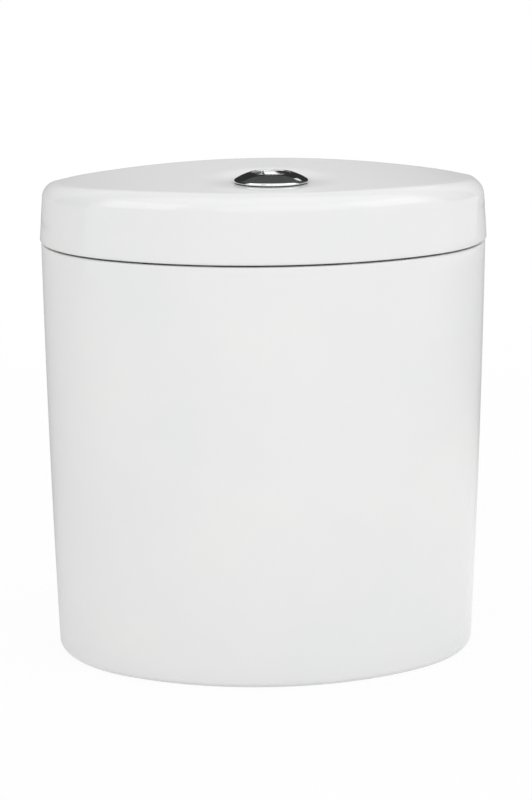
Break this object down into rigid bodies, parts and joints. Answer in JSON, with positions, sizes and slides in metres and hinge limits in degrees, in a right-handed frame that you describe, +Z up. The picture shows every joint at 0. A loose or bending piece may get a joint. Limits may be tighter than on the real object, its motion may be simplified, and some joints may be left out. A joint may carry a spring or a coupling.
{
  "type": "toilet cistern",
  "caption": "Close-coupled white ceramic toilet cistern with a loose lid, a chrome split push button, a two-stage flush valve and a bottom-entry fill valve.",
  "frame": {"origin": "middle of the footprint on the standing plane, under the skirt", "axes": "+X to the right as seen from the front, -Y to the front, +Y to the wall, +Z up"},
  "size_m": [0.372, 0.174, 0.4127],
  "materials": {
    "glazed_white": "high gloss glaze",
    "chrome": "polished plating",
    "steel": "drawn wire",
    "black_rubber": "matte",
    "blue_plastic": "satin",
    "grey_plastic": "satin",
    "white_plastic": "satin"
  },
  "bodies": {
    "cistern": {"tank": "glazed_white", "lid_pads": "black_rubber", "valve_base": "white_plastic", "base_seal_washer": "black_rubber", "outlet_back_nut": "white_plastic", "cage_foot": "grey_plastic", "cage_posts": "grey_plastic", "sleeve_guide": "grey_plastic", "overflow_guides": "grey_plastic", "valve_head": "blue_plastic", "rocker_pin": "steel", "inlet_shank": "white_plastic", "inlet_filter": "grey_plastic", "inlet_seal_washer": "black_rubber", "inlet_back_nut": "white_plastic", "riser_tube": "white_plastic", "riser_lock_ring": "blue_plastic", "discharge_tube": "grey_plastic", "fill_valve_body": "white_plastic", "diaphragm": "black_rubber", "fill_valve_cap": "blue_plastic", "arm_pin": "steel", "blanking_plug": "white_plastic", "blanking_washer": "black_rubber", "blanking_nut": "white_plastic"},
    "lid": {"lid": "glazed_white", "button_bezel": "chrome", "bezel_gasket": "black_rubber", "bezel_nut": "white_plastic", "button_carrier": "white_plastic", "full_button_spring": "steel", "half_button_spring": "steel"},
    "full_button": {"full_flush_button": "chrome", "full_push_rod": "white_plastic"},
    "half_button": {"half_flush_button": "chrome", "half_push_rod": "white_plastic"},
    "full_rocker": {"full_rocker": "blue_plastic"},
    "half_rocker": {"half_rocker": "blue_plastic"},
    "sleeve": {"full_flush_sleeve": "white_plastic", "full_lift_bar": "white_plastic", "sleeve_seal": "black_rubber"},
    "overflow": {"overflow_tube": "grey_plastic", "half_lift_bar": "grey_plastic", "overflow_seal": "black_rubber"},
    "float": {"float_cup": "white_plastic", "float_rod": "white_plastic", "float_rod_nut": "blue_plastic"},
    "float_arm": {"float_arm": "grey_plastic"}
  },
  "joints": [
    {"name": "lid_lift", "type": "slide", "parent": "cistern", "child": "lid", "axis": [0, 0, 1], "range_m": [0, 0.15]},
    {"name": "full_flush_press", "type": "slide", "parent": "lid", "child": "full_button", "axis": [0, 0, -1], "range_m": [0, 0.006], "stiffness_N_per_m": 500, "springref_m": -0.004, "deforming": ["full_button_spring"]},
    {"name": "half_flush_press", "type": "slide", "parent": "lid", "child": "half_button", "axis": [0, 0, -1], "range_m": [0, 0.006], "stiffness_N_per_m": 500, "springref_m": -0.004, "deforming": ["half_button_spring"]},
    {"name": "full_rocker_turn", "type": "hinge", "parent": "cistern", "child": "full_rocker", "pos_m": [0.007, -0.002, 0.322], "axis": [1, 0, 0], "range_deg": [0, 17.2]},
    {"name": "half_rocker_turn", "type": "hinge", "parent": "cistern", "child": "half_rocker", "pos_m": [-0.0105, -0.002, 0.322], "axis": [1, 0, 0], "range_deg": [0, 17.2]},
    {"name": "sleeve_lift", "type": "slide", "parent": "cistern", "child": "sleeve", "axis": [0, 0, 1], "range_m": [0, 0.0117]},
    {"name": "overflow_lift", "type": "slide", "parent": "sleeve", "child": "overflow", "axis": [0, 0, 1], "range_m": [0, 0.0117]},
    {"name": "float_rise", "type": "slide", "parent": "cistern", "child": "float", "axis": [0, 0, 1], "range_m": [0, 0.01]},
    {"name": "float_arm_turn", "type": "hinge", "parent": "cistern", "child": "float_arm", "pos_m": [0.122, 0.022, 0.2975], "axis": [0, 1, 0], "range_deg": [0, 17.95]}
  ],
  "couplings": [
    {"joint": "full_rocker_turn", "follows": "full_flush_press", "rad_per_m": 50},
    {"joint": "sleeve_lift", "follows": "full_flush_press", "ratio": 1.95},
    {"joint": "half_rocker_turn", "follows": "half_flush_press", "rad_per_m": 50},
    {"joint": "overflow_lift", "follows": "half_flush_press", "ratio": 1.95},
    {"joint": "float_arm_turn", "follows": "float_rise", "rad_per_m": 31.25}
  ]
}
